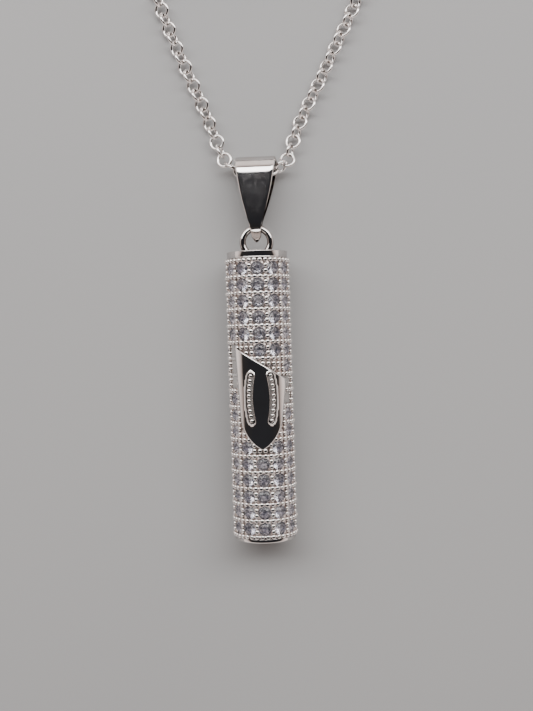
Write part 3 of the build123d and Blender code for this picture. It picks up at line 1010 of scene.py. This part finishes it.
def plaque_fill(outline):
    """A grid of points for the rest of the face, clear of the rim and the lips."""
    xs, ys = np.meshgrid(np.arange(-2.6, 2.6, PLAQUE_GRID[0]), np.arange(-10, 0.1, PLAQUE_GRID[1]))
    fill = np.column_stack([xs.ravel(), ys.ravel()])
    near = distance_to_bands(fill)
    off_rim = inside(fill, outline) & (distance_to(fill, outline) > PLAQUE_ROUNDING)
    off_lips = (near < BAND_CLEAR[0]) | (near > BAND_CLEAR[1])
    return fill[off_rim & off_lips]


def plaque_triangles(outline):
    """The face in plan, as points and triangles."""
    points, edges = [], []
    for loop in plaque_loops(outline):
        first = len(points)
        points += loop.tolist()
        edges += [(first + k, first + (k + 1) % len(loop)) for k in range(len(loop))]
    points += plaque_fill(outline).tolist()
    flat, _, faces, *_ = delaunay_2d_cdt([Vector(p) for p in points], edges, [], 0, 1e-6)
    flat = np.array([tuple(p) for p in flat])
    centres = np.array([flat[list(face)].mean(axis=0) for face in faces])
    return flat, [face for face, kept in zip(faces, inside(centres, outline)) if kept]


def make_plaque():
    """The mirror-polished shield wrapped on the tube, with two lipped channels closed at both ends."""
    outline = plaque_outline()
    flat, triangles = plaque_triangles(outline)
    shield = Parts()
    shield.add(on_front(flat, plaque_radius(flat, outline)), triangles)
    top = on_front(outline, PLAQUE_R - PLAQUE_ROUNDING)
    foot = on_front(outline, np.maximum(PLAQUE_FOOT_R, abs(outline[:, 0]) + 0.01))
    wall = grid_faces(2, len(outline))
    shield.add(np.vstack([top, foot]), [face[::-1] for face in wall])
    way = np.roll(outline, -1, axis=0) - np.roll(outline, 1, axis=0)
    out = np.column_stack([way[:, 1], -way[:, 0], np.zeros(len(way))])
    out /= np.linalg.norm(out, axis=1)[:, None]
    normals = np.vstack([front_normals(flat, outline), out, out])
    piece = mesh_object(
        "shield_plaque", *shield.all(), POLISHED, "case", ["front_plaque"], "silver_polished"
    )
    piece.data.normals_split_custom_set_from_vertices(normals.tolist())


def make_bead_row(side, name, node):
    """A strip on the channel's floor with a row of beads standing on it."""
    line = band_line(side)
    _, left = directions(line)
    edge, crown = BAND_STRIP_HALF, BAND_STRIP_HALF - BAND_STRIP_CROWN
    profile = ((-edge, 0), (-crown, BAND_STRIP_CROWN), (crown, BAND_STRIP_CROWN), (edge, 0))
    strips = [on_front(line + left * offset, BAND_FLOOR_R + rise) for offset, rise in profile]
    row = Parts()
    row.add(np.vstack(strips), grid_faces(len(profile), len(line), False), 1)
    length = distance_travelled(line)[-1]
    count = round(length / BAND_BEAD_PITCH) + 1
    shape, faces = bead_shape(BAND_BEAD_R)
    for x, y in places_at(line, np.linspace(0, length, count)):
        size = 1 + rng.normal(0, BAND_BEAD_SPREAD)
        row.add(stand(shape * size, asin(x / BAND_BEAD_CENTRE_R), y, BAND_BEAD_CENTRE_R), faces)
    piece = mesh_object(name, *row.all(), BEADS, "case", [node], "silver_polished", sharp=40)
    paint(piece, row.kinds, SATIN)


# -------- caps and ring
def make_top_cap():
    """A turned cap: a spigot, a fine bead, a hollow band, a rounded shoulder and a low dome."""
    spigot_y = TOP_CAP_Y - SPIGOT_LENGTH
    profile = [(CAP_CENTRE_R, spigot_y), (SPIGOT_R, spigot_y)]
    profile += [(SPIGOT_R, TOP_CAP_Y), (CAP_BORE_R, TOP_CAP_Y)]
    profile += arc_points((CAP_RADIUS - CAP_BEAD_R, TOP_CAP_Y + CAP_BEAD_R), CAP_BEAD_R, -90, 90, steps=9)
    profile += [(CAP_NECK_R, TOP_CAP_Y + 0.12), (CAP_NECK_R, TOP_CAP_Y + 0.14)]
    profile += [(CAP_RADIUS - 0.04, TOP_RIM_Y - 0.14)]
    shoulder = (CAP_RADIUS - 0.12, TOP_RIM_Y - CAP_SHOULDER_R)
    profile += arc_points(shoulder, CAP_SHOULDER_R, 10, 80, steps=9)
    foot_r, foot_y = profile[-1]
    for step in range(1, DOME_STEPS):
        share = 1 - step / DOME_STEPS
        profile.append((foot_r * share, TOP_DOME_Y - (TOP_DOME_Y - foot_y) * share**2))
    cap = turned(profile, steps=160)
    mesh_object("turned_top_cap", *cap, POLISHED, "case", ["top_cap"], "silver_polished", sharp=40)


def make_ring():
    """The round wire ring, its hole facing the front, let into the cap."""
    centre = (0, RING_Y, AXIS_Z)
    ring = torus(centre, (1, 0, 0), (0, 1, 0), RING_MEAN_R, RING_WIRE_R, around=128, section=40)
    mesh_object("soldered_ring", *ring, POLISHED, "case", ["cap_ring"], "silver_polished")


def threaded(first, last, steps=96, around=72):
    """A screw thread between two heights, faded out at both and closed at the second."""
    turns = np.linspace(0, 2 * pi, around, endpoint=False)
    rings = []
    for y in np.linspace(first, last, steps):
        phase = (y / THREAD_PITCH - turns / (2 * pi)) % 1
        ridge = np.clip(1.5 - THREAD_FLANK * abs(phase - 0.5), 0, 1)
        fade = np.clip(min((y - first) / THREAD_FADES[0], (last - y) / THREAD_FADES[1]), 0, 1)
        rings.append(on_tube(turns, y, PLUG_R - THREAD_DEPTH + THREAD_DEPTH * ridge * fade))
    rings.append(on_tube(turns, last, PLUG_CENTRE_R))
    end = tuple(range(steps * around, (steps + 1) * around))
    return np.vstack(rings), grid_faces(steps + 1, around) + [end]


def make_plug():
    """The screw plug: a thin rim that closes the tube and a threaded plug behind it."""
    rim_y = SLEEVE_BOTTOM_Y - 0.02
    profile = [(PLUG_CENTRE_R, cad_low_y)]
    edge = (CAP_RADIUS - PLUG_EDGE_R, cad_low_y + PLUG_EDGE_R)
    profile += arc_points(edge, PLUG_EDGE_R, -90, 0, steps=7)
    lip = (CAP_RADIUS - PLUG_LIP_R, rim_y - PLUG_LIP_R)
    profile += arc_points(lip, PLUG_LIP_R, 0, 90, steps=4)
    profile += [(PLUG_R - THREAD_DEPTH, rim_y)]
    plug = Parts()
    plug.add(*turned(profile, steps=160))
    plug.add(*threaded(rim_y, rim_y + PLUG_LENGTH))
    node = "bottom_cap"
    mesh_object("screw_plug", *plug.all(), POLISHED, node, [node], "silver_polished", sharp=40)


# -------- bail
def half_width(y):
    """The bail's half-width seen from the front, round at its tip."""
    tip_y, tip_r = BAIL_WIDTHS[0]
    if y < tip_y:
        return sqrt(max(tip_r**2 - (tip_y - y) ** 2, LEAST_HALF_WIDTH**2))
    ys, widths = zip(*BAIL_WIDTHS)
    if y < ys[1]:
        return float(np.interp(y, ys, widths))
    bend = np.polyfit(ys[1:], widths[1:], 2)
    return min(widths[-1], float(np.polyval(bend, min(y, ys[-1]))))


def hull_point(circles, turn):
    """The point of the circles' common hull that faces a direction in the Y-Z plane."""
    way = np.array([cos(turn), sin(turn)])
    reach = [y * way[0] + z * way[1] + r for y, z, r in circles]
    y, z, r = circles[int(np.argmax(reach))]
    return np.array([y, z]) + r * way


def bail_stations():
    """Pairs of outer and inner points round the folded strip, from its tip over the front."""
    back = [LOOP, EYE, BAIL_TIP]
    front = [LOOP, BAIL_TIP]
    for y, z, radius, first, last in BAIL_NOSE:
        reach = radius - BAIL_TIP[2]
        tilts = np.radians(np.arange(first, last, 2))
        front += [(y - reach * sin(a), z + reach * cos(a), BAIL_TIP[2]) for a in tilts]
    inner_circles = ((*LOOP[:2], LOOP[2] - STRIP), (*EYE[:2], EYE[2] - STRIP))
    pairs = []
    # from this first turn, both hulls go on to their next circle at the same steps
    for turn in np.radians(np.arange(181, -179, -3)):
        outer = hull_point(front if turn > FRONT_TURN else back, turn)
        pair = np.array([outer, hull_point(inner_circles, turn)])
        if pairs:
            jump = np.linalg.norm(pair - pairs[-1], axis=1).max()
            pieces = int(jump // STATION_GAP) + 1
            before = pairs[-1]
            pairs += [before + (pair - before) * k / pieces for k in range(1, pieces)]
        pairs.append(pair)
    return pairs


def bail_section(outer, inner):
    """One cross-section of the strip: a flat face, edges rounded as quarter ellipses, sides and back."""
    thick = np.linalg.norm(inner - outer)
    wide, deep = half_width(outer[0]), half_width(inner[0])
    edge = min(np.interp(wide, EDGE_HALF_WIDTHS, EDGE_WIDTHS), MOST_EDGE_WIDTH * wide)
    fall = min(np.interp(wide, EDGE_HALF_WIDTHS, EDGE_FALLS), MOST_EDGE_FALL * thick)
    turns = np.radians(np.linspace(0, 90, 9))
    half = [(x, 0) for x in np.linspace(0, wide - edge, 5)[:-1]]
    half += [(wide - edge + edge * sin(a), fall * (1 - cos(a))) for a in turns]
    half += [(wide + (deep - wide) * SIDE_SHARE, fall + (thick - fall) * SIDE_SHARE)]
    half += [(deep - 0.03, thick)]
    loop = [(x, d) for x, d in half] + [(-x, d) for x, d in half[:0:-1]]
    into = (inner - outer) / thick
    return [(x, *(outer + into * d)) for x, d in loop]


def make_bail():
    """The strip folded over the chain and down behind, tapering to the tip that holds the ring."""
    stations = bail_stations()
    sections = [bail_section(*pair) for pair in stations]
    points = np.array([p for section in sections for p in section])
    axis = Vector((0, LOOP[0] - EYE[0], LOOP[1] - EYE[1])).normalized()
    spin = np.array(Matrix.Rotation(radians(BAIL_TWIST), 3, axis))
    pivot = np.array([0, EYE[0], EYE[1]])
    yaw = np.array(Matrix.Rotation(radians(BAIL_YAW), 3, "Z"))
    points = (points - pivot) @ (yaw @ spin).T + pivot
    faces = grid_faces(len(sections), len(sections[0]), True, True)
    nodes = ["bail"]
    piece = mesh_object("folded_bail", points, faces, POLISHED, "bail", nodes, "silver_polished", sharp=38)
    # the lower nose takes the beads' finish, so its painted shade reaches only close hollows
    on_nose = [outer[0] < NOSE_TOP_Y and outer[1] > BAIL_TIP[1] for outer, _ in stations]
    paint(piece, np.repeat(on_nose, len(sections[0])).astype(int).tolist(), BEADS)


def finish_cad_pieces():
    """The CAD nodes that stay visible get the same finishes."""
    finishes = {
        "case_tube": POLISHED,
        "scroll": PARCHMENT,
        "clasp_body": POLISHED,
        "clasp_trigger": POLISHED,
        "clasp_spring": SPRING,
        "clasp_link": CHAIN,
        "end_ring": CHAIN,
    }
    for name, finish in finishes.items():
        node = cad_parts[name]
        node.data.materials.clear()
        node.data.materials.append(finish)


def main():
    make_camera()
    make_studio()
    make_floor()
    make_chain()
    make_sleeve()
    make_stones()
    make_plaque()
    make_bead_row(-1, "bead_row_left", "bead_inlay_left")
    make_bead_row(1, "bead_row_right", "bead_inlay_right")
    make_top_cap()
    make_ring()
    make_plug()
    make_bail()
    finish_cad_pieces()


main()
